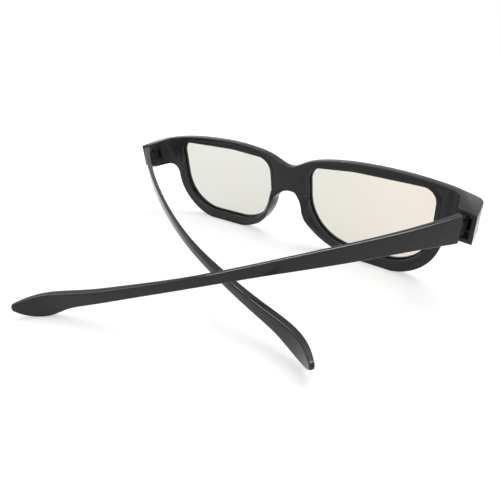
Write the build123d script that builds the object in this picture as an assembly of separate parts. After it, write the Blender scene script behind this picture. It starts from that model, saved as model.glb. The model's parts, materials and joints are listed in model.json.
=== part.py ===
from build123d import *
import math
import os

# 3D glasses in the photographed pose: standing on both rim bottoms and the
# right temple's end, arms folded in and crossed. Millimetres, +Z up, +X to the
# wearer's right, +Y away from the wearer. Everything is drawn upright with the
# rim bottoms at z = 0 and the rear of the bridge at y = 0, then leaned back.

# Front frame
FRONT_W = 144.4          # over both end pieces
FRONT_R = 1119.0         # plan curve of the front
FRONT_D = 2.8            # depth of the front moulding
LENS_SHARE = 0.3366      # of the front's width, each aperture
GAP_SHARE = 0.1247       # of the front's width, between the apertures
BROW_H = 39.75           # highest point of the top edge
BROW_T = 3.45            # brow above the aperture
BRIDGE_DROP = 6.35       # top edge at the middle, below the brow
BRIDGE_T = 10.3          # bridge, from its top edge to the nose arch
END_DROP = 3.4           # outer end of the top edge, below the brow
RIM_BOTTOM = 4.5         # rim width below the aperture
RIM_SIDE = 3.9           # rim width on the outer side
RIM_NOSE = 2.5           # rim width on the nose side
TOP_IN = 0.189           # aperture corner radius, share of its height, top and nose side
TOP_OUT = 0.157          # top and outer side
LOW_IN = 0.582           # bottom and nose side
LOW_OUT = 0.503          # bottom and outer side
BROW_ROUND = 1.26        # turn in the aperture's top edge, share of its height
TOP_DROP = 0.044         # the aperture's top edge falls this share of its height to the nose
NOSE_MORE = 5.5          # the outline beside the nose is this much rounder than the aperture

# The top edge, as shares of the half width and of the rise or fall
BROW_IN = [(0.0, 0.0), (0.097, 0.41), (0.194, 0.73), (0.305, 0.91), (0.47, 1.0)]
BROW_OUT = [(0.61, 0.07), (0.78, 0.4), (0.942, 0.97), (1.055, 1.44)]
BROW_TURN = 0.39         # where the aperture's top edge turns, share of the half width

# Lens seat, seen from behind: a stepped rebate, then a lip at the front
LIP_T = 0.85             # lip in front of the lens
LIP_W = 0.3              # how far the lip stands in past the visible edge
SEAT_W = 1.7             # rebate width outside the visible lens edge
FILM_T = 0.18            # retarder and polariser films
SHEET_T = 0.36           # clear carrier sheet
GLUE = 0.02              # adhesive between the layers
LENS_FIT = 0.15          # play round the edge of the lens
RING_T = 1.0             # retainer depth
RING_FIT = 0.1           # parting line round the retainer

# Nose pads
PAD_OUT = 3.9            # how far the pads stand behind the rims
# swell of the pad going up, shares of the height of the nose outline's centre and of PAD_OUT
PAD_SWELL = [(0.05, 0.0), (0.19, 0.24), (0.35, 0.51), (0.52, 0.86), (0.63, 0.98), (0.72, 0.87), (0.82, 0.62), (0.91, 0.27), (0.955, 0.0)]
PAD_W = 3.4              # width of the sloping pad face
PAD_RIDGE = 0.5          # flat along the top of the pad
PAD_ROOT = 0.05          # height left at the lens side

# End pieces
END_H = 10.2             # height of the end piece
END_BACK = 10.1          # how far it turns back behind the front's rear face
END_RAKE = 4.8           # degrees the outer wall leans outward going back
END_CORNER = 3.4         # plan radius of the front outer corner
END_STEP = 1.6           # front corner, forward of the front's rear face there
END_TURN = 10.0          # plan radius where the front turns to the end piece
END_NECK = 2.2           # the inner wall leans inboard by this much going forward
END_INNER = 3.6          # plan radius inside the end piece
END_BEVEL = 0.9          # the rear face runs forward by this much going inboard
END_WALL = 1.3           # outer wall of the hinge pocket
END_SKIN = 1.3           # top and bottom skins of the pocket
END_FILLET = 6.0         # under the end piece, into the rim
END_REAR_W = 5.6         # width of the end piece's rear face

# Hinge
PIN_IN = 4.2             # pivot inboard of the outer rear corner
PIN_FWD = 2.8            # pivot forward of the rear face
PIN_D = 1.2
PIN_PLAY = 0.08          # round the pin in the knuckle
PIN_COVER = 0.7          # skin left over the upper end of the pin
PIN_SINK = 0.3           # lower end of the pin above the underside
TONGUE_IN = 1.0          # tongue, inboard of the pivot
TONGUE_OUT = 2.3         # tongue, outboard of the pivot
TONGUE_L = 6.0           # root of the tongue along the arm
LUG_T = 1.9              # lug thickness under each skin
KNUCKLE_R = 1.75
POCKET_PLAY = 0.5        # in front of the knuckle
HINGE_GAP = 0.18         # between knuckle and lugs, and behind the end piece

# Temples, in the open pose, from the butt face backward
ARM_L = 132.3
ARM_S = [0, 0.123, 0.285, 0.456, 0.606, 0.744, 0.832, 0.885, 0.94, 0.977, 1]
ARM_OUT = [0, 1.7, 2.5, 1.87, -0.68, -6.15, -11.0, -14.2, -16.65, -16.8, -16.4]
ARM_T = [2.4, 1.85, 1.45, 1.35, 1.75, 2.25, 2.55, 2.5, 2.1, 1.85, 1.5]
ARM_TOP = [-0.15, -1.34, -2.57, -4.45, -7.3, -10.85, -13.6, -14.85, -15.95, -16.75, -17.35]
ARM_H = [9.5, 7.25, 5.9, 4.3, 3.4, 3.8, 4.5, 5.8, 7.75, 5.85, 2.75]
ARM_TIP = 0.8             # depth of the round that closes the tip

# The pose in the photograph
RIGHT_FOLD = 41.8        # degrees folded from open
LEFT_FOLD = 57.3         # degrees folded from open
RIGHT_LIFT = 1.0         # degrees, the right arm rides up by its hinge's play
LEFT_LIFT = 0.0
LEAN = 7.4               # degrees, the front leans back, before the arm's end meets the ground
FOOT_FLAT = 0.25         # depth of the flat on each rim bottom

# Places that follow from the sizes
HALF = FRONT_W / 2
AX0 = FRONT_W * GAP_SHARE / 2           # aperture, nose side
AX1 = AX0 + FRONT_W * LENS_SHARE        # aperture, outer side
AZ0 = RIM_BOTTOM
AZ1 = BROW_H - BROW_T
END_TOP = BROW_H - END_DROP
BRIDGE_H = BROW_H - BRIDGE_DROP
ARCH_H = BRIDGE_H - BRIDGE_T
R_NOSE = LOW_IN * (AZ1 - AZ0) + NOSE_MORE
END_BOT = END_TOP - END_H
Y_LENS = RING_T + RING_FIT              # rear of the lens stack, from the rear face
Y_LIP = FRONT_D - LIP_T                 # rear of the lip
STACK = 2 * FILM_T + SHEET_T + 2 * GLUE
BIG = 4 * HALF
NOSE_X = AX0 - RIM_NOSE + R_NOSE        # centre of the rim's nose side outline, R_NOSE above the base
ARCH_R = (NOSE_X ** 2 + (R_NOSE - ARCH_H) ** 2 - R_NOSE ** 2) / (2 * ARCH_H)
ARCH_Z = ARCH_H - ARCH_R
UP = (Align.CENTER, Align.CENTER, Align.MIN)


def rear(x, ahead=0.0):
    """Y of the front's rear face at x, or of a curve that far ahead of it."""
    return math.sqrt((FRONT_R + ahead) ** 2 - x ** 2) - FRONT_R


END_REAR_Y = rear(HALF) - END_BACK      # rear face of the end piece
PIVOT = (HALF - PIN_IN, END_REAR_Y + PIN_FWD)


def slab(y0, y1):
    """Curved sheet between two depths behind and in front of the rear face."""
    outer = Cylinder(FRONT_R + y1, BIG)
    inner = Cylinder(FRONT_R + y0, 2 * BIG)
    strip = Pos(0, FRONT_R, 0) * Box(2 * BIG, BIG, BIG)
    return Pos(0, -FRONT_R, 0) * ((outer & strip) - inner)


def elevation(face, y0=-BIG / 2, depth=BIG):
    """A face drawn in x, z, as a block through y."""
    return extrude(Plane((0, y0, 0), x_dir=(1, 0, 0), z_dir=(0, -1, 0)) * face, -depth)


def plan(face, z0, z1):
    """A face drawn in x, y, as a block between two heights."""
    return extrude(Pos(0, 0, z0) * face, z1 - z0)


def rounded(points):
    """Closed outline from (x, y, corner radius) points."""
    edges, n = [], len(points)
    ends = []
    for i, (x, y, r) in enumerate(points):
        p, a, b = Vector(x, y), Vector(*points[i - 1][:2]), Vector(*points[(i + 1) % n][:2])
        u, v = (a - p).normalized(), (b - p).normalized()
        if r <= 0:
            ends.append((p, p, None))
            continue
        half = math.acos(max(-1, min(1, u.dot(v)))) / 2
        d = r / math.tan(half)
        mid = p + (u + v).normalized() * (r / math.sin(half) - r)
        ends.append((p + u * d, p + v * d, mid))
    for i, (a, b, mid) in enumerate(ends):
        if mid is not None:
            edges.append(ThreePointArc(a, mid, b))
        c = ends[(i + 1) % n][0]
        if (c - b).length > 1e-4:
            edges.append(Line(b, c))
    return make_face(Wire(edges))


def aperture(grow=0.0):
    """The visible lens opening of the right rim, grown all round."""
    high = AZ1 - AZ0
    face = rounded([
        (AX0, AZ1 - high * TOP_DROP, high * TOP_IN),
        (AX0, AZ0, high * LOW_IN),
        (AX1, AZ0, high * LOW_OUT),
        (AX1, AZ1, high * TOP_OUT),
        (HALF * BROW_TURN, AZ1 + high * TOP_DROP / 6, high * BROW_ROUND)])
    return offset(face, grow) if grow else face


def both(part):
    return [part, mirror(part, Plane.YZ)]


def front_outline():
    """Front elevation, both rims, bridge and end pieces in one face."""
    side = AX1 + RIM_SIDE
    r_low = LOW_OUT * (AZ1 - AZ0) + RIM_SIDE
    over = BROW_H + RIM_BOTTOM
    # block under the brow, rounded at its lower outer corner
    half = rounded([(0, over, 0), (0, 0, 0), (side, 0, r_low), (side, over, 0)])
    reach = HALF * BROW_OUT[-1][0]
    end = Pos((side + reach) / 2, (END_BOT + over) / 2) * Rectangle(reach - side, over - END_BOT)
    # fillet under the end piece, a square less a disc
    web = Pos(side + END_FILLET / 2, END_BOT - END_FILLET / 2) * Rectangle(END_FILLET, END_FILLET)
    web -= Pos(side + END_FILLET, END_BOT - END_FILLET) * Circle(END_FILLET)
    half = half + end + web
    # nose opening: an arch that runs tangent into both rims
    arch = Pos(0, ARCH_Z) * Circle(ARCH_R)
    touch = ARCH_Z + ARCH_R * (R_NOSE - ARCH_Z) / (R_NOSE + ARCH_R)
    opening = arch + Pos(0, touch / 2 - R_NOSE / 2) * Rectangle(2 * NOSE_X, touch + R_NOSE)
    lobe = Pos(NOSE_X, R_NOSE) * Circle(R_NOSE) + Pos(NOSE_X + R_NOSE, R_NOSE) * Rectangle(2 * R_NOSE, 2 * R_NOSE)
    opening = opening - lobe - mirror(lobe, Plane.YZ)
    # everything above the brow line
    line = [(HALF * k, BRIDGE_H + BRIDGE_DROP * h) for k, h in BROW_IN]
    line += [(HALF * k, BROW_H - END_DROP * h) for k, h in BROW_OUT]
    full = [(-x, z) for x, z in reversed(line[1:])] + line
    top = Spline(*full)
    a, b = full[0], full[-1]
    lid = make_face(Wire([top, Line(b, (b[0], BIG)), Line((b[0], BIG), (a[0], BIG)), Line((a[0], BIG), a)]))
    return half + mirror(half, Plane.YZ) - opening - lid


def end_plan():
    """Plan of the right end piece, turned back from the front."""
    rake = math.tan(math.radians(END_RAKE)) * END_BACK
    x_turn, x_in = AX1 + RIM_SIDE, HALF - END_REAR_W
    return rounded([
        (AX1, rear(AX1, FRONT_D), 0),
        (x_turn, rear(x_turn, FRONT_D), END_TURN),
        (HALF - rake, rear(HALF) + END_STEP, END_CORNER),
        (HALF, END_REAR_Y, 0),
        (x_in, END_REAR_Y + END_BEVEL, 0),
        (x_in - END_NECK, rear(HALF), END_INNER),
        (AX1, rear(AX1), 0)])


def front_plan():
    """Plan of the whole front: a thin curved band and both end pieces."""
    ring = Circle(FRONT_R + FRONT_D) - Circle(FRONT_R)
    band = (Pos(0, -FRONT_R) * ring) & Rectangle(2 * AX1, 2 * END_BACK)
    end = end_plan()
    return band + end + mirror(end, Plane.YZ)


def lens_block(y0, y1, grow):
    """One layer behind the lip, following the curve of the front."""
    return elevation(aperture(grow)) & slab(y0, y1)


def nose_pad():
    """Right pad: a ramp standing behind the rim along the side of the nose opening and up its arch."""
    cx, cz, r = NOSE_X, R_NOSE, R_NOSE
    root = FRONT_D / 8

    def ramp(start, way):
        """Ring about the y axis whose section slopes from its ridge at the nose outline."""
        foot = start + way * PAD_W
        return revolve(make_face(Polyline(
            (foot, root), (foot, -PAD_ROOT), (start + way * PAD_RIDGE, -PAD_OUT),
            (start, PAD_RIDGE / 2 - PAD_OUT), (start, root), (foot, root))), Axis.Y)

    # the rim's ring below the line between the two centres, the arch's ring above it
    slope = math.degrees(math.atan2(cz - ARCH_Z, cx))
    above = Pos(0, 0, ARCH_Z) * Rot(0, -slope, 0) * Box(2 * BIG, BIG, BIG, align=UP)
    ring = (Pos(cx, 0, cz) * ramp(r, -1) - above) + ((Pos(0, 0, ARCH_Z) * ramp(ARCH_R, 1)) & above)
    # seen from the side the pad swells from the rim and fades back into it
    line = [(root if out == 0 else -PAD_OUT * out, cz * z) for z, out in PAD_SWELL]
    side = make_face(Wire([Spline(*line), Line(line[-1], line[0])]))
    length = extrude(Plane((0, 0, 0), x_dir=(0, 1, 0), z_dir=(1, 0, 0)) * side, cx)
    return ring & length


def front_frame():
    shape = plan(front_plan(), -BIG, BIG) & elevation(front_outline())
    for pad in both(nose_pad()):
        shape += pad
    for side in (1, -1):
        shape = seat(shape, side)
    for hinge in both(pocket()):
        shape -= hinge
    for lug in both(lugs()):
        shape += lug
    for pin in both(pin_hole()):
        shape -= pin
    return shape


def seat(shape, side):
    opening = elevation(aperture(-LIP_W))
    rebate = elevation(aperture(SEAT_W)) & slab(-2 * FRONT_D, Y_LIP)
    cut = opening + rebate
    return shape - (cut if side > 0 else mirror(cut, Plane.YZ))


def pocket():
    """Hinge pocket in the right end piece, open to the rear and inboard."""
    x_wall = HALF - END_WALL
    x0 = HALF - 2 * END_REAR_W
    y_front = PIVOT[1] + KNUCKLE_R + POCKET_PLAY
    y_rear = END_REAR_Y - END_WALL
    slant = math.tan(math.radians(END_RAKE))
    face = make_face(Polyline((x0, y_rear), (x_wall + slant * END_WALL, y_rear),
                              (x_wall - slant * (y_front - END_REAR_Y), y_front), (x0, y_front), (x0, y_rear)))
    return plan(face, END_BOT + END_SKIN, END_TOP - END_SKIN)


def lugs():
    disc = Pos(*PIVOT) * Circle(KNUCKLE_R)
    x0, x1 = PIVOT[0] - KNUCKLE_R, HALF - END_WALL / 2
    y1 = PIVOT[1] + KNUCKLE_R + 2 * POCKET_PLAY
    arm = Pos((x0 + x1) / 2, (PIVOT[1] + y1) / 2) * Rectangle(x1 - x0, y1 - PIVOT[1])
    foot = disc + arm
    sink = END_SKIN / 20
    low = plan(foot, END_BOT + END_SKIN - sink, END_BOT + END_SKIN + LUG_T)
    high = plan(foot, END_TOP - END_SKIN - LUG_T, END_TOP - END_SKIN + sink)
    return low + high


def pin_hole():
    return Pos(PIVOT[0], PIVOT[1], END_BOT) * Cylinder(PIN_D / 2, END_H - PIN_COVER, align=UP)


def hinge_pin():
    return Pos(PIVOT[0], PIVOT[1], END_BOT + PIN_SINK) * Cylinder(
        PIN_D / 2, END_H - PIN_COVER - PIN_SINK, align=UP)


def temple():
    """Right temple in the open pose about the pivot, arm going to -y."""
    y_butt = END_REAR_Y - HINGE_GAP
    x_out = HALF
    s = [ARM_L * k for k in ARM_S]
    outer = [(x_out + o, y_butt - d) for o, d in zip(ARM_OUT, s)]
    inner = [(x - t, y) for (x, y), t in zip(outer, ARM_T)]
    a, b = Spline(*outer), Spline(*inner)
    # the plan runs on past the last station, over the depth of the tip's round
    end_out, end_in = ((x, y - ARM_TIP) for x, y in (outer[-1], inner[-1]))
    face = make_face(Wire([a, Line(outer[-1], end_out), Line(end_out, end_in), Line(end_in, inner[-1]), b, Line(inner[0], outer[0])]))
    top = [(END_TOP + z, y_butt - d) for z, d in zip(ARM_TOP, s)]
    low = [(z - h, y) for (z, y), h in zip(top, ARM_H)]
    ta, tb = Spline(*top), Spline(*low)
    tip = ThreePointArc(top[-1], ((top[-1][0] + low[-1][0]) / 2, top[-1][1] - ARM_TIP), low[-1])
    side = make_face(Wire([ta, tip, tb, Line(low[0], top[0])]))
    # the side view is drawn as (z, y); stood up across the arm
    block = extrude(Plane((-BIG / 2, 0, 0), x_dir=(0, 0, 1), z_dir=(-1, 0, 0)) * side, -BIG)
    arm = block & plan(face, -BIG, BIG)
    z0 = END_BOT + END_SKIN + LUG_T + HINGE_GAP
    z1 = END_TOP - END_SKIN - LUG_T - HINGE_GAP
    px, py = PIVOT
    root = y_butt - TONGUE_L
    tongue = make_face(Polyline((px - TONGUE_IN, py), (px + TONGUE_OUT, py), (px + TONGUE_OUT, y_butt),
                                (HALF, root), (px - TONGUE_IN, y_butt), (px - TONGUE_IN, py)))
    arm += plan(tongue, z0, z1)
    arm += plan(Pos(px, py) * Circle(KNUCKLE_R), z0, z1)
    return arm - Pos(px, py, z0) * Cylinder(PIN_D / 2 + PIN_PLAY, z1 - z0, align=UP)


def retainer():
    """Ring clipped in behind the lens; it carries the lens side of the pad."""
    ring = elevation(aperture(SEAT_W - RING_FIT)) - elevation(aperture())
    return (ring & slab(0, RING_T)) + (ring & nose_pad())


def lens_layers():
    """Film and sheet layers from the front of the seat backward."""
    edge = SEAT_W - LENS_FIT
    depths, y = [], Y_LENS
    for t in (SHEET_T, FILM_T, FILM_T):
        depths.append((y, y + t))
        y += t + GLUE
    return [lens_block(a, b, edge) for a, b in depths]


def folded(arm, fold, lift):
    """Right arm, lifted by the hinge's play and folded in."""
    mid = Pos(PIVOT[0], PIVOT[1], (END_BOT + END_TOP) / 2)
    return mid * Rot(0, 0, -fold) * Rot(-lift, 0, 0) * mid.inverse() * arm


def settle(frame, arm):
    """Lean that stands the glasses on the rims and the right arm's end."""
    angle = LEAN
    for _ in range(4):
        turn = Rot(angle, 0, 0)
        a, f = (turn * arm).bounding_box(), (turn * frame).bounding_box()
        angle += math.degrees((a.min.Z - f.min.Z - FOOT_FLAT) / (f.center().Y - a.min.Y))
    return Rot(angle, 0, 0)


def build():
    sheet, polariser, retarder = lens_layers()
    ring, pin, arm = retainer(), hinge_pin(), temple()
    nodes = {"front_frame": front_frame()}
    for side, flip in (("right", False), ("left", True)):
        hand = (lambda p: mirror(p, Plane.YZ)) if flip else (lambda p: p)
        nodes[side + "_lens_retainer"] = hand(ring)
        nodes[side + "_lens_carrier"] = hand(sheet)
        nodes[side + "_lens_polariser"] = hand(polariser)
        nodes[side + "_lens_retarder"] = hand(retarder)
        nodes[side + "_hinge_pin"] = hand(pin)
    nodes["right_temple"] = folded(arm, RIGHT_FOLD, RIGHT_LIFT)
    nodes["left_temple"] = mirror(folded(arm, LEFT_FOLD, LEFT_LIFT), Plane.YZ)
    lean = settle(nodes["front_frame"], nodes["right_temple"])
    nodes = {k: lean * v for k, v in nodes.items()}
    # flats where the rims stand
    frame = nodes["front_frame"]
    low = frame.bounding_box().min.Z
    frame -= Pos(0, 0, low + FOOT_FLAT) * Box(BIG, BIG, BIG, align=(Align.CENTER, Align.CENTER, Align.MAX))
    nodes["front_frame"] = frame
    boxes = [v.bounding_box() for v in nodes.values()]
    shift = Pos(-(min(b.min.X for b in boxes) + max(b.max.X for b in boxes)) / 2,
                -(min(b.min.Y for b in boxes) + max(b.max.Y for b in boxes)) / 2,
                -min(b.min.Z for b in boxes))
    return {k: shift * v for k, v in nodes.items()}, shift * lean


def main():
    os.makedirs("parts", exist_ok=True)
    nodes, place = build()
    for name, part in nodes.items():
        solids = part.solids()
        part = solids[0] if len(solids) == 1 else part
        part.label = name
        export_step(part, "parts/" + name + ".step")
        b = part.bounding_box()
        print(name, len(solids), round(part.volume, 1), [round(v, 2) for v in (*b.min, *b.max)])
    for side, sign in (("right", 1), ("left", -1)):
        p = place * Pos(sign * PIVOT[0], PIVOT[1], (END_BOT + END_TOP) / 2)
        print(side, "hinge at", [round(v, 3) for v in p.position])
    print("upright axis", [round(v, 5) for v in (place * Pos(0, 0, 1)).position - place.position])
    print("frame origin in the part", [round(v, 3) for v in place.position])


main()
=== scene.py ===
"""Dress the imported 3D glasses for rendering: rounded black mouldings, pale
polarising lenses, hinge pins, a white table and a camera at the photograph's
angle. Everything is in metres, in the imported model's own frame."""

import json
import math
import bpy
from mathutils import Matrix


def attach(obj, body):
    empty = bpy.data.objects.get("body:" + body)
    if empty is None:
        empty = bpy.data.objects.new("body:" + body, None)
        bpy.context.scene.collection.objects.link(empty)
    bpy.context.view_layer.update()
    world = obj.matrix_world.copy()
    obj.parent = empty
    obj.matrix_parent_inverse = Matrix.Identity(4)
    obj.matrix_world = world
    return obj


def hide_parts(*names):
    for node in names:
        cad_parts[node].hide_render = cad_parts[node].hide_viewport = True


bl_info = {
    "name": "3D Glasses",
    "version": (1, 0, 0),
    "blender": (4, 5, 0),
    "location": "3D Viewport > Sidebar > Glasses",
    "description": "Build the mouldings, lenses, pins and stage of a pair of 3D glasses",
    "category": "Object",
}

import bmesh
import bpy
import numpy as np
from mathutils import Matrix, Vector

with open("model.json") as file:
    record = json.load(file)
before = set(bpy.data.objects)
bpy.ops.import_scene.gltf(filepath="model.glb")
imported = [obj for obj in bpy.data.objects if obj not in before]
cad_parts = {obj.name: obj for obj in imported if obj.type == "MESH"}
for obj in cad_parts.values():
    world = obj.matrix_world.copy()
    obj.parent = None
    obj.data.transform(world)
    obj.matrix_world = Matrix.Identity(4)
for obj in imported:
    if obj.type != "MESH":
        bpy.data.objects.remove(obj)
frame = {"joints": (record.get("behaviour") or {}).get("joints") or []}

MM = 0.001
SIDES = {"right": 1, "left": -1}
HINGE = {j["name"].split("_")[0]: j for j in frame["joints"]}
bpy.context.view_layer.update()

# The temple from its butt end backward: share of the length, then millimetres
# outside the hinge side, thickness, top edge below the end piece, height.
TEMPLE_SHARE = (0.0, 0.123, 0.285, 0.456, 0.606, 0.744, 0.832, 0.885, 0.94, 0.977, 1.0)
TEMPLE_OUT = (0.0, 1.7, 2.5, 1.87, -0.68, -6.15, -11.0, -14.2, -16.65, -16.8, -16.4)
TEMPLE_THICK = (2.4, 1.85, 1.45, 1.35, 1.75, 2.25, 2.55, 2.5, 2.1, 1.85, 1.5)
TEMPLE_TOP = (-0.15, -1.34, -2.57, -4.45, -7.3, -10.85, -13.6, -14.85, -15.95, -16.75, -17.35)
TEMPLE_HIGH = (9.5, 7.25, 5.9, 4.3, 3.4, 3.8, 4.5, 5.8, 7.75, 5.85, 2.75)
# The temple's outer top corner at the butt end, from the middle of the pin.
BUTT_PLACE = (4.2, -2.98, 5.1)
# The knuckle's radius, the hole in it, its height and the rounding of its faces.
KNUCKLE_RADIUS, KNUCKLE_HOLE, KNUCKLE_HEIGHT, KNUCKLE_EDGE = 1.75, 0.68, 3.44, 0.15
# The tongue from the knuckle's inner side round to its outer side, seen from above.
TONGUE = ((-1.0, -2.98), (1.5, -5.88), (3.4, -8.1), (4.2, -8.98),
          (3.3, -6.1), (2.3, -2.98), (2.3, -1.4), (2.3, 0.0))
# The right lens opening in the upright drawing: x, z and corner radius, with
# the rim's curve in plan and the pin's middle. A lens sheet is larger than the
# opening all round, and its depths are ahead of the rim's rear face.
LENS_CORNERS = ((9.00, 34.90, 6.01), (9.00, 4.50, 18.51), (57.61, 4.50, 16.0),
                (57.61, 36.30, 4.99), (28.16, 36.53, 40.07))
FRONT_RADIUS = 1119.0
LENS_HIDDEN = 1.55
LENS_DEPTHS = {"carrier": (1.10, 1.46), "polariser": (1.48, 1.66), "retarder": (1.68, 1.86)}
PIN_PLACE = (68.0, -9.632, 31.25)
FOLD = {"right": 41.8, "left": 57.3}
PLAY = {"right": 1.0, "left": 0.0}
# Above this turn between two faces, an edge of a new piece is shaded sharp.
SHARP = math.radians(40)


class MouldingSettings(bpy.types.PropertyGroup):
    """Sizes and finish of the black mouldings."""

    edge: bpy.props.FloatProperty(
        name="Edge rounding", description="Radius on the edges of the front moulding",
        default=0.28 * MM, min=0.05 * MM, max=0.6 * MM, precision=5, unit="LENGTH")
    ring_edge: bpy.props.FloatProperty(
        name="Ring rounding", description="Radius on the edges of the lens retainers",
        default=0.1 * MM, min=0.02 * MM, max=0.3 * MM, precision=5, unit="LENGTH")
    colour: bpy.props.FloatVectorProperty(
        name="Plastic colour", description="Colour of the moulded plastic",
        default=(0.034, 0.034, 0.035), size=3, min=0.0, max=1.0, subtype="COLOR")
    roughness: bpy.props.FloatProperty(
        name="Roughness", description="Middle of the plastic's roughness",
        default=0.13, min=0.05, max=1.0, subtype="FACTOR")
    grain: bpy.props.FloatProperty(
        name="Grain depth", description="Depth of the fine moulded grain",
        default=0.006 * MM, min=0.0, max=0.1 * MM, precision=6, unit="LENGTH")


class TempleSettings(bpy.types.PropertyGroup):
    """Sizes of the two temples."""

    length: bpy.props.FloatProperty(
        name="Length", description="From the butt end to the start of the tip's end round",
        default=132.3 * MM, min=80 * MM, max=180 * MM, precision=4, unit="LENGTH")
    edge: bpy.props.FloatProperty(
        name="Edge rounding", description="Radius along the temple's edges",
        default=0.5 * MM, min=0.05 * MM, max=0.7 * MM, precision=5, unit="LENGTH")
    tip: bpy.props.FloatProperty(
        name="Tip depth", description="Depth of the round that closes the tip",
        default=0.8 * MM, min=0.3 * MM, max=1.4 * MM, precision=4, unit="LENGTH")
    butt_corner: bpy.props.FloatProperty(
        name="Butt corner", description="Radius on the lower corner of the butt end",
        default=0.75 * MM, min=0.2 * MM, max=3 * MM, precision=4, unit="LENGTH")


class LensSettings(bpy.types.PropertyGroup):
    """Sizes and tint of the lens sheets."""

    tint: bpy.props.FloatVectorProperty(
        name="Film tint", description="Colour of the polarising film near the nose",
        default=(0.835, 0.835, 0.79), size=3, min=0.0, max=1.0, subtype="COLOR")
    tint_outer: bpy.props.FloatVectorProperty(
        name="Film tint, outer", description="Colour of the film towards the wearer's right side",
        default=(0.908, 0.85, 0.782), size=3, min=0.0, max=1.0, subtype="COLOR")
    density: bpy.props.FloatProperty(
        name="Film haze", description="How much of what lies behind the polarising film's haze covers",
        default=0.1, min=0.0, max=1.0, subtype="FACTOR")
    # The clear border shows as a bright line along the lens edge: a painted highlight.
    border: bpy.props.FloatProperty(
        name="Clear border", description="Width of the untinted band inside the rim",
        default=0.55 * MM, min=0.0, max=3 * MM, precision=4, unit="LENGTH")


class PinSettings(bpy.types.PropertyGroup):
    """Finish of the hinge pins."""

    colour: bpy.props.FloatVectorProperty(
        name="Steel colour", description="Colour of the pin",
        default=(0.42, 0.42, 0.43), size=3, min=0.0, max=1.0, subtype="COLOR")


class StageSettings(bpy.types.PropertyGroup):
    """Table, light and camera."""

    floor_colour: bpy.props.FloatVectorProperty(
        name="Table colour", description="Colour of the table top",
        default=(0.86, 0.86, 0.86), size=3, min=0.0, max=1.0, subtype="COLOR")
    sky: bpy.props.FloatProperty(
        name="Room light", description="Strength of the even light from all round",
        default=0.5, min=0.0, max=3.0)
    overhead: bpy.props.FloatProperty(
        name="Overhead lamp", description="Power of the large soft lamp overhead",
        default=7.0, min=0.0, max=50.0, unit="POWER")
    behind: bpy.props.FloatProperty(
        name="Lamp behind", description="Power of the soft lamp beyond the glasses",
        default=0.2, min=0.0, max=50.0, unit="POWER")
    beside: bpy.props.FloatProperty(
        name="Side lamp", description="Power of the lamp on the wearer's left that lines the edges",
        default=3.6, min=0.0, max=50.0, unit="POWER")
    edge: bpy.props.FloatProperty(
        name="Edge lamp", description="Power of the lamp overhead that lines the edges",
        default=75.0, min=0.0, max=400.0, unit="POWER")
    camera: bpy.props.FloatVectorProperty(
        name="Camera place", description="Where the camera stands",
        default=(92.819 * MM, -100.244 * MM, 77.791 * MM), size=3, precision=5, subtype="TRANSLATION")
    camera_turn: bpy.props.FloatVectorProperty(
        name="Camera turn", description="Which way the camera faces",
        default=(1.13164, -0.01224, 0.65550), size=3, precision=5, subtype="EULER")
    lens: bpy.props.FloatProperty(
        name="Focal length", description="Focal length on a 36 mm sensor, in millimetres",
        default=32.09, min=10.0, max=200.0)


def spline(t, values, at):
    """Smooth curve through the values at t, read at other places.

    Between two knots the value is the cubic that meets both values and both
    slopes. Inner slopes make the bend continuous at each knot, and each end
    slope is that of the cubic through the four points nearest that end."""
    t, values, at = (np.asarray(a, float) for a in (t, values, at))
    h, n = np.diff(t), len(t)
    rise = np.diff(values) / h
    system, right = np.zeros((n, n)), np.zeros(n)
    for knots, row in (((0, 1, 2, 3), 0), ((n - 4, n - 3, n - 2, n - 1), n - 1)):
        fit = np.polyfit(t[list(knots)] - t[row], values[list(knots)], 3)
        system[row, row], right[row] = 1.0, fit[2]
    inner = np.arange(1, n - 1)
    system[inner, inner - 1] = h[1:]
    system[inner, inner] = 2 * (h[:-1] + h[1:])
    system[inner, inner + 1] = h[:-1]
    right[inner] = 3 * (h[1:] * rise[:-1] + h[:-1] * rise[1:])
    slope = np.linalg.solve(system, right)
    k = np.clip(np.searchsorted(t, at, side="right") - 1, 0, n - 2)
    u = (at - t[k]) / h[k]
    return ((2 * u ** 3 - 3 * u ** 2 + 1) * values[k] + (u ** 3 - 2 * u ** 2 + u) * h[k] * slope[k]
            + (3 * u ** 2 - 2 * u ** 3) * values[k + 1] + (u ** 3 - u ** 2) * h[k] * slope[k + 1])


def across(length, offsets, distance):
    """Offset of a side of the temple at each distance down its length.

    The side is a smooth curve in the plane through (distance, offset) points,
    with chord length as its parameter; it is sampled finely and read back by
    straight interpolation in the distance."""
    places = np.asarray(TEMPLE_SHARE) * length
    offsets = np.asarray(offsets)
    chord = np.concatenate(([0.0], np.cumsum(np.hypot(np.diff(places), np.diff(offsets)))))
    fine = np.linspace(0.0, chord[-1], 2000)
    return np.interp(distance, spline(chord, places, fine), spline(chord, offsets, fine))


def round_box(half_x, half_z, radius, arc):
    """Rounded rectangle profiles, one row for each station.

    Each of the four corners is a quarter circle of the given radius with
    arc + 1 points, so the straight sides lie between two corners. Returns the
    two coordinates as arrays of shape (stations, 4 * (arc + 1))."""
    turn = np.linspace(0.0, np.pi / 2, arc + 1)
    angle = np.concatenate([turn + k * np.pi / 2 for k in range(4)])
    sign_x = np.repeat((1, -1, -1, 1), arc + 1)
    sign_z = np.repeat((1, 1, -1, -1), arc + 1)
    half_x, half_z, radius = (np.asarray(a)[:, None] for a in (half_x, half_z, radius))
    x = (half_x - radius) * sign_x + radius * np.cos(angle)
    z = (half_z - radius) * sign_z + radius * np.sin(angle)
    return x, z


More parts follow.
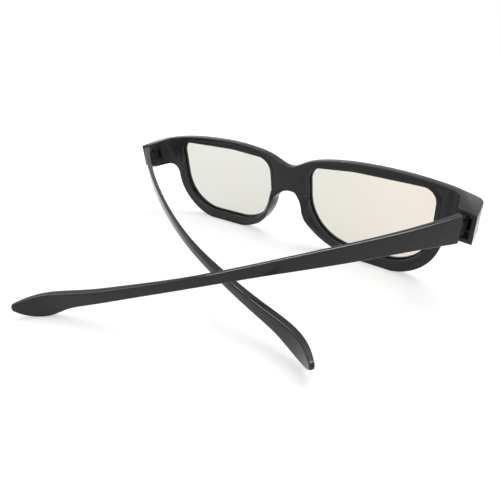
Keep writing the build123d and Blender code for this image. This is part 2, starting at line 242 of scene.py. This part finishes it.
def grid_faces(rows, columns, close_rows=False):
    """Quads of a grid of points that is closed across its columns.

    Point (i, j) has index i * columns + j; each quad joins rows i and i + 1.
    With close_rows the last row joins the first; otherwise the first row and
    the last row each get one flat face."""
    i = np.arange(rows if close_rows else rows - 1)[:, None]
    j = np.arange(columns)[None, :]
    nxt, row = (j + 1) % columns, (i + 1) % rows
    corners = (i * columns + j, row * columns + j, row * columns + nxt, i * columns + nxt)
    faces = np.stack(corners, axis=-1).reshape(-1, 4).tolist()
    if not close_rows:
        faces.append(list(range(columns)))
        faces.append(list(range((rows - 1) * columns, rows * columns))[::-1])
    return faces


def new_piece(name, points, faces, smooth=True, merge=True):
    """Mesh object from an array of points and a list of faces, facing outwards."""
    mesh = bpy.data.meshes.new(name)
    mesh.from_pydata(points.tolist(), [], faces)
    piece = bpy.data.objects.new(name, mesh)
    bpy.context.scene.collection.objects.link(piece)
    edit = bmesh.new()
    edit.from_mesh(mesh)
    if merge:
        bmesh.ops.remove_doubles(edit, verts=edit.verts, dist=1e-7)
    bmesh.ops.recalc_face_normals(edit, faces=edit.faces)
    edit.to_mesh(mesh)
    edit.free()
    if smooth:
        mesh.shade_smooth()
    else:
        mesh.shade_flat()
    return piece


def temple_surface(settings, arc=5):
    """Right temple's arm in the open pose, in millimetres.

    A rounded rectangle is carried down the arm: its outer side, thickness, top
    edge and height are smooth curves of the distance from the butt. Both ends
    close on a quarter round, where the rectangle shrinks as the cosine and
    moves out as the sine. The lower butt corner is a quarter circle in the
    side view."""
    length, edge, corner = settings.length / MM, settings.edge / MM, settings.butt_corner / MM
    end, bend = settings.tip / MM, 0.86 * length
    turn = np.linspace(0.0, np.pi / 2, 7)
    # stations stand closer at the butt and, past the bend, towards the tip
    body = np.concatenate((edge + (corner - edge) * np.linspace(0, 1, 12)[1:] ** 1.5,
                           np.linspace(corner, bend, 110)[1:],
                           bend + 0.14 * length * np.sin(np.linspace(0, np.pi / 2, 46))[1:]))
    away = np.concatenate((edge * (1 - np.cos(turn)), body, length + end * np.sin(turn[1:])))
    inset = np.concatenate((edge * (1 - np.sin(turn)), np.zeros(len(body) + len(turn) - 1)))
    shrink = np.maximum(np.concatenate((np.ones(len(turn) + len(body)), np.cos(turn[1:]))), 0.02)
    at = np.minimum(away, length)
    out = across(length, TEMPLE_OUT, at)
    thick = out - across(length, np.subtract(TEMPLE_OUT, TEMPLE_THICK), at)
    top = across(length, TEMPLE_TOP, at)
    low = across(length, np.subtract(TEMPLE_TOP, TEMPLE_HIGH), at)
    short = corner - np.sqrt(np.maximum(corner ** 2 - (corner - away) ** 2, 0))
    low = low + np.where(away < corner, short, 0)
    half_x = (thick / 2 - inset) * shrink ** 0.5
    half_z = ((top - low) / 2 - inset) * shrink
    radius = np.minimum(np.maximum(edge - inset, 0.02), 0.98 * np.minimum(half_x, half_z))
    x, z = round_box(half_x, half_z, radius, arc)
    x += (out - thick / 2)[:, None]
    z += ((top + low) / 2)[:, None]
    y = np.broadcast_to(-away[:, None], x.shape)
    return np.stack((x, y, z), axis=-1).reshape(-1, 3), grid_faces(len(away), x.shape[1])


def knuckle_surface(arc=24):
    """Tongue and knuckle of the right temple about its pin, in millimetres.

    The outline is a disc that runs out into a tapered tongue. It is carried up
    the pin with a small round at each face, where it shrinks towards the pin,
    and then back down the pin's hole, so the surface closes on itself."""
    front = np.linspace(0.0, np.pi + math.acos(1.0 / KNUCKLE_RADIUS), arc)
    disc = KNUCKLE_RADIUS * np.stack((np.cos(front), np.sin(front)), axis=-1)
    outline = np.concatenate((disc, TONGUE))
    size = np.linalg.norm(outline, axis=1, keepdims=True)
    way = outline / size
    half = KNUCKLE_HEIGHT / 2
    turn = np.linspace(0.0, np.pi / 2, 4)
    inset = KNUCKLE_EDGE * (1 - np.sin(turn))
    rise = KNUCKLE_EDGE * (1 - np.cos(turn)) - half
    sizes = [size - i for i in (*inset, *inset[::-1])] + [KNUCKLE_HOLE] * 2
    heights = (*rise, *-rise[::-1], half, -half)
    rings = [np.concatenate((way * s, np.full((len(way), 1), h)), axis=1) for s, h in zip(sizes, heights)]
    return np.concatenate(rings), grid_faces(len(rings), len(way), close_rows=True)


def lens_outline(arc=24):
    """Right lens opening seen from behind, in millimetres.

    Corner by corner: the corner point less the radius over the sine of half its
    angle, along the angle's middle, is the centre of an arc that runs from one
    side's normal to the next. Returns points and outward normals."""
    corners = np.array(LENS_CORNERS)[:, :2]
    radius = np.array(LENS_CORNERS)[:, 2]
    before = np.roll(corners, 1, axis=0) - corners
    after = np.roll(corners, -1, axis=0) - corners
    before /= np.linalg.norm(before, axis=1, keepdims=True)
    after /= np.linalg.norm(after, axis=1, keepdims=True)
    half = np.arccos(np.clip((before * after).sum(axis=1), -1, 1)) / 2
    middle = before + after
    middle /= np.linalg.norm(middle, axis=1, keepdims=True)
    centre = corners + middle * (radius / np.sin(half))[:, None]
    turn = np.linspace(-1, 1, arc)[None, :] * (np.pi / 2 - half)[:, None]
    facing = np.arctan2(-middle[:, 1], -middle[:, 0])[:, None] + turn
    normal = np.stack((np.cos(facing), np.sin(facing)), axis=-1)
    points = centre[:, None, :] + normal * radius[:, None, None]
    return points.reshape(-1, 2), normal.reshape(-1, 2)


def lens_surface(rear, front, rings=14):
    """One right lens sheet between two depths ahead of the rim's rear face.

    The outline shrinks in steps to its middle; each point lies on the curve of
    the front, y = sqrt(r^2 - x^2) - R, with r the front's radius R plus the
    depth. The rear face and the front face meet in a rounded edge. Returns the
    points, the faces and each point's distance inside the visible opening."""
    edge, normal = lens_outline()
    core = edge.mean(axis=0)
    # rings from the middle to 1.6 mm inside the opening, then closer ones out to the edge
    share = np.linspace(0.0, 1.0, rings)[1:, None, None] ** 0.8
    inner = core + (edge - normal * 1.6 - core) * share
    steps = np.array((1.2, 0.9, 0.7, 0.5, 0.3, 0.1, 0.0, -0.3, -0.9, 0.05 - LENS_HIDDEN))
    outer = edge[None] - steps[:, None, None] * normal[None]
    flat = np.concatenate((inner, outer))
    rim = (edge + LENS_HIDDEN * normal)[None]
    depth = np.concatenate((np.full(len(flat), rear), [(rear + front) / 2], np.full(len(flat), front)))
    x, z = np.moveaxis(np.concatenate((flat, rim, flat[::-1])), -1, 0)
    y = np.sqrt((FRONT_RADIUS + depth[:, None]) ** 2 - x ** 2) - FRONT_RADIUS
    points = np.stack((x, y, z), axis=-1)
    inside = np.concatenate((np.linspace(12.0, 1.6, rings - 1), steps))
    inside = np.concatenate((inside, [-LENS_HIDDEN], inside[::-1]))
    return points.reshape(-1, 3), grid_faces(*x.shape), np.repeat(inside, x.shape[1])


def upright_place(side):
    """Matrix from the upright drawing, in millimetres, to where the front stands."""
    joint = HINGE[side]
    up = Vector(joint["axis"]) * -SIDES[side]
    lean = Matrix.Rotation(math.atan2(-up.y, up.z), 4, "X")
    flip = Matrix.Scale(SIDES[side], 4, (1, 0, 0))
    to_pin = Matrix.Translation(-Vector(PIN_PLACE) * MM)
    return Matrix.Translation(joint["pos_m"]) @ lean @ flip @ to_pin @ Matrix.Scale(MM, 4)


def temple_place(side):
    """Matrix from the open right temple about its hinge to the photographed pose."""
    fold = Matrix.Rotation(-math.radians(FOLD[side]), 4, "Z")
    play = Matrix.Rotation(-math.radians(PLAY[side]), 4, "X")
    return upright_place(side) @ Matrix.Translation(PIN_PLACE) @ fold @ play


def merged_copy(node, name):
    """Copy of a CAD node with its doubles merged and its flat triangles joined."""
    source = bpy.data.objects[node]
    piece = bpy.data.objects.new(name, source.data.copy())
    bpy.context.scene.collection.objects.link(piece)
    edit = bmesh.new()
    edit.from_mesh(piece.data)
    bmesh.ops.remove_doubles(edit, verts=edit.verts, dist=2e-6)
    bmesh.ops.dissolve_limit(edit, angle_limit=math.radians(0.6), verts=edit.verts, edges=edit.edges)
    edit.to_mesh(piece.data)
    edit.free()
    piece.data.shade_smooth()
    return piece


def round_edges(piece, width, segments=3):
    """Live bevel on the piece's sharp edges, with its normals kept flat on the faces."""
    bevel = piece.modifiers.new("Rounded edges", "BEVEL")
    bevel.width = width
    bevel.segments = segments
    bevel.limit_method = "ANGLE"
    bevel.angle_limit = math.radians(35)
    bevel.harden_normals = True
    bevel.use_clamp_overlap = True
    bevel.miter_outer = "MITER_ARC"


def set_material(obj, material):
    """Make the material the object's only one."""
    obj.data.materials.clear()
    obj.data.materials.append(material)


def node_material(name):
    """Empty node material with a Principled surface; returns it, its tree and the shader."""
    material = bpy.data.materials.new(name)
    material.use_nodes = True
    tree = material.node_tree
    return material, tree, tree.nodes["Principled BSDF"]


def object_place(tree):
    """Socket of the Object coordinates, in metres."""
    return tree.nodes.new("ShaderNodeTexCoord").outputs["Object"]


def noise(tree, scale, detail=2.0):
    """Socket of a noise in Object coordinates, from 0 to 1."""
    node = tree.nodes.new("ShaderNodeTexNoise")
    node.inputs["Scale"].default_value = scale
    node.inputs["Detail"].default_value = detail
    tree.links.new(object_place(tree), node.inputs["Vector"])
    return node.outputs["Fac"]


def ranged(tree, source, low, high, start=0.0, end=1.0, curve="LINEAR"):
    """Socket that runs from low to high as the source runs from start to end."""
    node = tree.nodes.new("ShaderNodeMapRange")
    node.interpolation_type = curve
    for name, value in (("From Min", start), ("From Max", end), ("To Min", low), ("To Max", high)):
        node.inputs[name].default_value = value
    tree.links.new(source, node.inputs["Value"])
    return node.outputs["Result"]


def between(tree, factor, first, second):
    """Socket of the colour between two, each a colour or a socket, by the factor."""
    node = tree.nodes.new("ShaderNodeMix")
    node.data_type = "RGBA"
    tree.links.new(factor, node.inputs["Factor"])
    for name, colour in (("A", first), ("B", second)):
        if isinstance(colour, bpy.types.NodeSocket):
            tree.links.new(colour, node.inputs[name])
        else:
            node.inputs[name].default_value = (*colour, 1)
    return node.outputs["Result"]


def calculated(tree, operation, first, second):
    """Socket of the two sockets' product, maximum or the like."""
    node = tree.nodes.new("ShaderNodeMath")
    node.operation = operation
    tree.links.new(first, node.inputs[0])
    tree.links.new(second, node.inputs[1])
    return node.outputs[0]


def looked_at(tree):
    """Socket that is 1 for rays from the camera, through clear parts and off gloss."""
    ray = tree.nodes.new("ShaderNodeLightPath").outputs
    seen = calculated(tree, "MAXIMUM", ray["Is Camera Ray"], ray["Is Transmission Ray"])
    return calculated(tree, "MAXIMUM", seen, ray["Is Glossy Ray"])


def moulded_plastic(settings):
    """Black moulded plastic: satin, with fine grain and slow changes of gloss."""
    material, tree, shader = node_material("moulded black")
    slow, fine = noise(tree, 60, 3), noise(tree, 2600)
    gloss = ranged(tree, slow, settings.roughness - 0.03, settings.roughness + 0.04)
    tint = between(tree, ranged(tree, slow, 0.0, 1.0), settings.colour, [1.25 * c for c in settings.colour])
    bump = tree.nodes.new("ShaderNodeBump")
    bump.inputs["Strength"].default_value = 0.35
    bump.inputs["Distance"].default_value = settings.grain
    tree.links.new(fine, bump.inputs["Height"])
    tree.links.new(bump.outputs["Normal"], shader.inputs["Normal"])
    tree.links.new(gloss, shader.inputs["Roughness"])
    tree.links.new(tint, shader.inputs["Base Color"])
    shader.inputs["IOR"].default_value = 1.34
    shader.inputs["Specular IOR Level"].default_value = 0.34
    return material


def lens_film(name, settings, density, clear=0.7):
    """Pale see-through film: tinted clear, mixed with a faint haze.

    Its tint drifts across the lens, its haze varies a little, and both stop in
    a soft line inside the rim, so a clear border shows there: a bright line
    along the lens edge, which is a painted highlight."""
    material, tree, shader = node_material(name)
    apart = tree.nodes.new("ShaderNodeSeparateXYZ")
    tree.links.new(object_place(tree), apart.inputs["Vector"])
    drift = ranged(tree, apart.outputs["X"], 0.0, 1.0, end=60 * MM)
    tint = between(tree, drift, settings.tint, settings.tint_outer)
    inside = tree.nodes.new("ShaderNodeAttribute")
    inside.attribute_name = "inside"
    border = settings.border / MM
    # painted highlight: the film turns clear in a soft band just inside the rim, so a bright line shows
    # along the lens edge
    stop = ranged(tree, inside.outputs["Fac"], 0.0, 1.0, 0.45 * border, 1.3 * border, "SMOOTHSTEP")
    haze = ranged(tree, noise(tree, 22), 0.92 * density, 1.06 * density)
    # the clear share takes the tint only where the film lies
    through = tree.nodes.new("ShaderNodeBsdfTransparent")
    both = tree.nodes.new("ShaderNodeMixShader")
    both.inputs["Fac"].default_value = clear
    tree.links.new(tint, shader.inputs["Base Color"])
    tree.links.new(calculated(tree, "MULTIPLY", haze, stop), shader.inputs["Alpha"])
    tree.links.new(between(tree, stop, (1, 1, 1), tint), through.inputs["Color"])
    tree.links.new(shader.outputs["BSDF"], both.inputs[1])
    tree.links.new(through.outputs["BSDF"], both.inputs[2])
    tree.links.new(both.outputs[0], tree.nodes["Material Output"].inputs["Surface"])
    shader.inputs["Roughness"].default_value = 0.08
    shader.inputs["IOR"].default_value = 1.49
    return material


def clear_sheet():
    """Clear carrier sheet: hardly seen, with a faint haze and a glossy face."""
    material, tree, shader = node_material("clear carrier")
    tree.links.new(ranged(tree, noise(tree, 40), 0.01, 0.02), shader.inputs["Alpha"])
    shader.inputs["Base Color"].default_value = (0.82, 0.83, 0.8, 1)
    shader.inputs["Roughness"].default_value = 0.05
    shader.inputs["IOR"].default_value = 1.49
    return material


def steel(settings):
    """Drawn steel with fine changes of roughness."""
    material, tree, shader = node_material("drawn steel")
    tree.links.new(ranged(tree, noise(tree, 900), 0.25, 0.4), shader.inputs["Roughness"])
    shader.inputs["Base Color"].default_value = (*settings.colour, 1)
    shader.inputs["Metallic"].default_value = 1.0
    return material


def material_once(name, maker, *values):
    """The material of that name, made on first use."""
    return bpy.data.materials.get(name) or maker(*values)


class GLASSES_OT_front(bpy.types.Operator):
    """Build the front moulding with rounded edges."""

    bl_idname = "glasses.front"
    bl_label = "Front moulding"

    def execute(self, context):
        settings = context.scene.glasses_moulding
        plastic = material_once("moulded black", moulded_plastic, settings)
        piece = merged_copy("front_frame", "front_moulding")
        round_edges(piece, settings.edge)
        set_material(piece, plastic)
        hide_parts("front_frame")
        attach(piece, "front")
        return {"FINISHED"}


class GLASSES_OT_retainers(bpy.types.Operator):
    """Build the two rings that hold the lenses, with rounded edges."""

    bl_idname = "glasses.retainers"
    bl_label = "Lens retainers"

    def execute(self, context):
        settings = context.scene.glasses_moulding
        plastic = material_once("moulded black", moulded_plastic, settings)
        for side in SIDES:
            piece = merged_copy(side + "_lens_retainer", side + "_retainer_ring")
            round_edges(piece, settings.ring_edge, 2)
            set_material(piece, plastic)
            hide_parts(side + "_lens_retainer")
            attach(piece, "front")
        return {"FINISHED"}


class GLASSES_OT_temples(bpy.types.Operator):
    """Build both temples with their hinge knuckles."""

    bl_idname = "glasses.temples"
    bl_label = "Temples"

    def execute(self, context):
        settings = context.scene.glasses_temple
        plastic = material_once("moulded black", moulded_plastic, context.scene.glasses_moulding)
        arm, arm_faces = temple_surface(settings)
        knuckle, knuckle_faces = knuckle_surface()
        points = np.concatenate((arm + BUTT_PLACE, knuckle))
        faces = arm_faces + [[k + len(arm) for k in face] for face in knuckle_faces]
        for side in SIDES:
            place = np.array(temple_place(side))
            piece = new_piece(side + "_arm", points @ place[:3, :3].T + place[:3, 3], faces)
            set_material(piece, plastic)
            piece.data.set_sharp_from_angle(angle=SHARP)
            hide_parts(side + "_temple")
            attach(piece, side + "_arm")
        return {"FINISHED"}


class GLASSES_OT_lenses(bpy.types.Operator):
    """Build the three sheets of each lens."""

    bl_idname = "glasses.lenses"
    bl_label = "Lens sheets"

    def execute(self, context):
        settings = context.scene.glasses_lens
        dense = lens_film("tinted film", settings, settings.density)
        pale = lens_film("pale film", settings, settings.density * 0.4, clear=0.0)
        sheets = {
            "carrier": ("clear_sheet", clear_sheet()),
            "polariser": ("polariser_film", dense),
            "retarder": ("retarder_film", pale),
        }
        for side in SIDES:
            place = np.array(upright_place(side))
            for layer, (slot, material) in sheets.items():
                rear, front = LENS_DEPTHS[layer]
                points, faces, inside = lens_surface(rear, front)
                points = points @ place[:3, :3].T + place[:3, 3]
                piece = new_piece(side + "_" + layer + "_sheet", points, faces, merge=False)
                mark = piece.data.attributes.new("inside", "FLOAT", "POINT")
                mark.data.foreach_set("value", inside.astype(np.float32))
                set_material(piece, material)
                piece.data.set_sharp_from_angle(angle=SHARP)
                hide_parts(side + "_lens_" + layer)
                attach(piece, "front")
        return {"FINISHED"}


class GLASSES_OT_pins(bpy.types.Operator):
    """Finish the two hinge pins."""

    bl_idname = "glasses.pins"
    bl_label = "Hinge pins"

    def execute(self, context):
        metal = steel(context.scene.glasses_pin)
        for side in SIDES:
            set_material(bpy.data.objects[side + "_hinge_pin"], metal)
        return {"FINISHED"}


def table_material(colour):
    """White table top: the object's shadow stays, and the rest reads as white."""
    material, tree, shader = node_material("table")
    tree.links.new(ranged(tree, noise(tree, 3), 0.75, 0.85), shader.inputs["Roughness"])
    # near the glasses the light makes the white; far off the table glows by itself
    away = tree.nodes.new("ShaderNodeVectorMath")
    away.operation = "LENGTH"
    tree.links.new(object_place(tree), away.inputs[0])
    glow = ranged(tree, away.outputs["Value"], 0.46, 1.0, 0.15, 0.9)
    tree.links.new(calculated(tree, "MULTIPLY", looked_at(tree), glow), shader.inputs["Emission Strength"])
    shader.inputs["Base Color"].default_value = (*colour, 1)
    shader.inputs["Specular IOR Level"].default_value = 0.1
    shader.inputs["Emission Color"].default_value = (1, 1, 1, 1)
    return material


def white_room(strength):
    """World light: even white, and plain white where it is looked at."""
    world = bpy.data.worlds.new("room")
    world.use_nodes = True
    tree = world.node_tree
    light, white = tree.nodes["Background"], tree.nodes.new("ShaderNodeBackground")
    mix = tree.nodes.new("ShaderNodeMixShader")
    light.inputs["Color"].default_value = white.inputs["Color"].default_value = (1, 1, 1, 1)
    light.inputs["Strength"].default_value = strength
    tree.links.new(looked_at(tree), mix.inputs["Fac"])
    tree.links.new(light.outputs[0], mix.inputs[1])
    tree.links.new(white.outputs[0], mix.inputs[2])
    tree.links.new(mix.outputs[0], tree.nodes["World Output"].inputs["Surface"])
    return world


def soft_lamp(name, place, target, size, power, depth=None, turn=0.0, gloss_only=False):
    """Rectangular lamp that faces the target, turned about its own axis.

    One for gloss only shows in gloss, and adds no light or shadow otherwise."""
    data = bpy.data.lights.new(name, "AREA")
    data.shape = "RECTANGLE"
    data.size, data.size_y = size, depth or size
    data.energy = power
    lamp = bpy.data.objects.new(name, data)
    lamp.location = place
    lamp.rotation_euler = (Vector(target) - Vector(place)).to_track_quat("-Z", "Y").to_euler()
    lamp.rotation_euler.rotate_axis("Z", turn)
    lamp.visible_diffuse = not gloss_only
    bpy.context.scene.collection.objects.link(lamp)


class GLASSES_OT_stage(bpy.types.Operator):
    """Build the table, the lamps, the white room and the camera."""

    bl_idname = "glasses.stage"
    bl_label = "Stage"

    def execute(self, context):
        settings = context.scene.glasses_stage
        side = np.linspace(-3.0, 3.0, 13)
        many = len(side)
        x, y = np.meshgrid(side, side, indexing="ij")
        points = np.stack((x, y, np.zeros_like(x)), axis=-1).reshape(-1, 3)
        index = np.arange(many - 1)
        corner = (index[:, None] * many + index[None, :]).reshape(-1)
        faces = np.stack((corner, corner + many, corner + many + 1, corner + 1), axis=-1).tolist()
        table = new_piece("table", points, faces, smooth=False)
        set_material(table, table_material(settings.floor_colour))
        context.scene.world = white_room(settings.sky)
        soft_lamp("overhead_lamp", (0.25, 0.3, 1.45), (0, 0, 0), 0.9, settings.overhead)
        soft_lamp("lamp_behind", (-0.62, 0.95, 0.72), (0, 0, 0), 0.9, settings.behind)
        soft_lamp("side_lamp", (-0.86, -0.16, 0.82), (0, 0, 0), 0.4, settings.beside, gloss_only=True)
        soft_lamp("edge_lamp", (0.14, -0.11, 1.2), (0.14, -0.11, 0), 1.15, settings.edge,
                  depth=0.6, turn=math.radians(39.4), gloss_only=True)
        data = bpy.data.cameras.new("camera")
        data.lens = settings.lens
        data.sensor_width = 36
        data.clip_start = 0.005
        camera = bpy.data.objects.new("camera", data)
        context.scene.collection.objects.link(camera)
        camera.location = settings.camera
        camera.rotation_euler = settings.camera_turn
        context.scene.camera = camera
        context.scene.view_settings.view_transform = "Standard"
        return {"FINISHED"}


class GLASSES_PT_panel(bpy.types.Panel):
    """Sidebar list of the glasses' pieces and their sizes."""

    bl_idname = "GLASSES_PT_panel"
    bl_label = "3D glasses"
    bl_space_type = "VIEW_3D"
    bl_region_type = "UI"
    bl_category = "Glasses"

    def draw(self, context):
        for group, operators in PANEL_ROWS:
            box = self.layout.box()
            settings = getattr(context.scene, group)
            for name in settings.__annotations__:
                box.prop(settings, name)
            for operator in operators:
                box.operator(operator.bl_idname)


SETTINGS = {
    "glasses_moulding": MouldingSettings,
    "glasses_temple": TempleSettings,
    "glasses_lens": LensSettings,
    "glasses_pin": PinSettings,
    "glasses_stage": StageSettings,
}
PANEL_ROWS = (
    ("glasses_moulding", (GLASSES_OT_front, GLASSES_OT_retainers)),
    ("glasses_temple", (GLASSES_OT_temples,)),
    ("glasses_lens", (GLASSES_OT_lenses,)),
    ("glasses_pin", (GLASSES_OT_pins,)),
    ("glasses_stage", (GLASSES_OT_stage,)),
)
CLASSES = (*SETTINGS.values(), *(kind for row in PANEL_ROWS for kind in row[1]), GLASSES_PT_panel)


def register():
    for cls in CLASSES:
        bpy.utils.register_class(cls)
    for name, cls in SETTINGS.items():
        setattr(bpy.types.Scene, name, bpy.props.PointerProperty(type=cls))


def unregister():
    for name in SETTINGS:
        delattr(bpy.types.Scene, name)
    for cls in reversed(CLASSES):
        bpy.utils.unregister_class(cls)


def main():
    register()
    bpy.ops.glasses.stage()
    bpy.ops.glasses.front()
    bpy.ops.glasses.retainers()
    bpy.ops.glasses.temples()
    bpy.ops.glasses.lenses()
    bpy.ops.glasses.pins()


if __name__ == "__main__":
    main()
